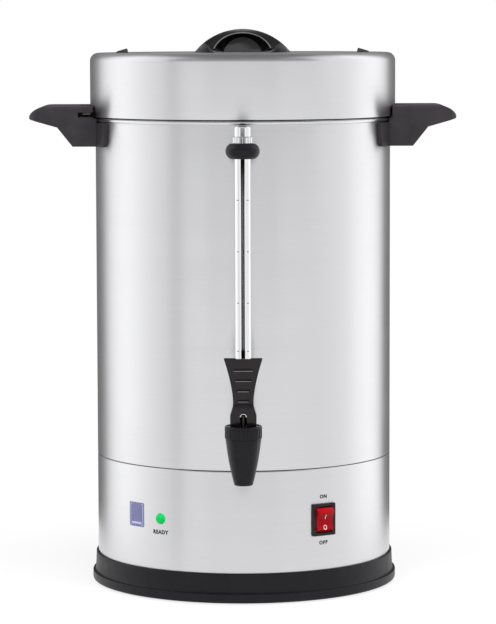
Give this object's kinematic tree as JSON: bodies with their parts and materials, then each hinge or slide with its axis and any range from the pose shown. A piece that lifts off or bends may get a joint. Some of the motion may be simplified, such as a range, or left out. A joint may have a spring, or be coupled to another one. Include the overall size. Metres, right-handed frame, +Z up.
{
  "type": "coffee urn",
  "caption": "Tall round percolating coffee urn with a deep lift-off lid, side handles, a front sight gauge, a spring tap with a pull lever, a rocker switch and a lamp.",
  "frame": {"origin": "on the urn's vertical centre line, in the plane of the foot ring's sole", "axes": "+Z up, the tap and the sight gauge face -Y, +X to the right seen from the front"},
  "size_m": [0.42, 0.3749, 0.545],
  "materials": {
    "brushed_steel": "brushed round the body",
    "polished_steel": "polished",
    "plain_steel": "plain mill finish",
    "bright_steel": "bright zinc or stainless",
    "chrome": "chrome plated",
    "base_plastic": "moulded, fine satin",
    "knob_plastic": "moulded, half gloss",
    "handle_plastic": "moulded, fine grain",
    "tap_plastic": "moulded, satin",
    "switch_plastic": "moulded, satin",
    "red_plastic": "moulded, gloss",
    "green_lens": "moulded lens, gloss",
    "gauge_glass": "clear",
    "silicone": "moulded",
    "foot_rubber": "moulded",
    "white_nylon": "moulded",
    "brass": "stamped",
    "heater_aluminium": "cast"
  },
  "bodies": {
    "urn": {"outer_shell": "brushed_steel", "base_skirt": "brushed_steel", "tank_wall": "polished_steel", "tank_floor": "polished_steel", "base_ring": "base_plastic", "base_plate": "plain_steel", "foot_ring": "foot_rubber", "foot_screws": "bright_steel", "tank_studs": "plain_steel", "stud_nuts": "bright_steel", "handle_left": "handle_plastic", "handle_right": "handle_plastic", "handle_screws": "bright_steel", "gauge_block": "tap_plastic", "gauge_nut": "chrome", "gauge_seal": "silicone", "gauge_glass": "gauge_glass", "gauge_guard": "chrome", "gauge_bracket": "tap_plastic", "bracket_screw": "bright_steel", "gauge_collar": "chrome", "gauge_cap": "chrome", "tap_body": "tap_plastic", "tap_bonnet": "tap_plastic", "tap_spring": "bright_steel", "tap_shank": "bright_steel", "shank_nut": "bright_steel", "shank_washers": "silicone", "shank_spacer": "switch_plastic", "switch_housing": "switch_plastic", "switch_terminals": "brass", "lamp_lens": "green_lens", "lamp_body": "switch_plastic", "cord_gland": "switch_plastic", "gland_nut": "switch_plastic", "terminal_block": "white_nylon", "brew_heater": "heater_aluminium", "warm_heater": "heater_aluminium", "heater_bracket": "plain_steel", "bracket_screws": "bright_steel", "thermostat": "switch_plastic", "thermal_fuse": "bright_steel", "pump_tube": "bright_steel", "pump_base": "bright_steel", "filter_basket": "bright_steel"},
    "lid_seal": {"lid_gasket": "silicone"},
    "lid": {"lid_cover": "brushed_steel", "lid_lugs": "polished_steel", "lid_ledge_ring": "plain_steel", "lid_knob": "knob_plastic", "knob_screws": "bright_steel", "lid_pointers": "knob_plastic"},
    "tap_stem": {"tap_stem": "bright_steel", "seat_cup": "silicone"},
    "tap_lever": {"tap_lever": "tap_plastic", "lever_pin": "bright_steel"},
    "rocker": {"switch_rocker": "red_plastic"},
    "valve_disc": {"pump_valve": "plain_steel"},
    "basket_cover": {"basket_cover": "bright_steel"}
  },
  "joints": [
    {"name": "lid_lift", "type": "slide", "parent": "urn", "child": "lid_seal", "axis": [0, 0, 1], "range_m": [0, 0.15]},
    {"name": "lid_twist", "type": "hinge", "parent": "lid_seal", "child": "lid", "pos_m": [0, 0, 0.4598], "axis": [0, 0, 1], "range_deg": [-10, 0]},
    {"name": "stem_lift", "type": "slide", "parent": "urn", "child": "tap_stem", "axis": [0, 0, 1], "range_m": [0, 0.004], "stiffness_N_per_m": 1500, "springref_m": -0.006, "deforming": ["tap_spring"]},
    {"name": "lever_pull", "type": "hinge", "parent": "tap_stem", "child": "tap_lever", "pos_m": [0, -0.199, 0.1872], "axis": [1, 0, 0], "range_deg": [0, 45]},
    {"name": "power_rocker", "type": "hinge", "parent": "urn", "child": "rocker", "pos_m": [0.07477, -0.12131, 0.0779], "axis": [-0.8513, -0.5247, 0], "range_deg": [0, 18]},
    {"name": "valve_rise", "type": "slide", "parent": "urn", "child": "valve_disc", "axis": [0, 0, 1], "range_m": [0, 0.003]},
    {"name": "cover_lift", "type": "slide", "parent": "urn", "child": "basket_cover", "axis": [0, 0, 1], "range_m": [0, 0.06]}
  ],
  "couplings": [
    {"joint": "lever_pull", "follows": "stem_lift", "rad_per_m": 196.35}
  ]
}
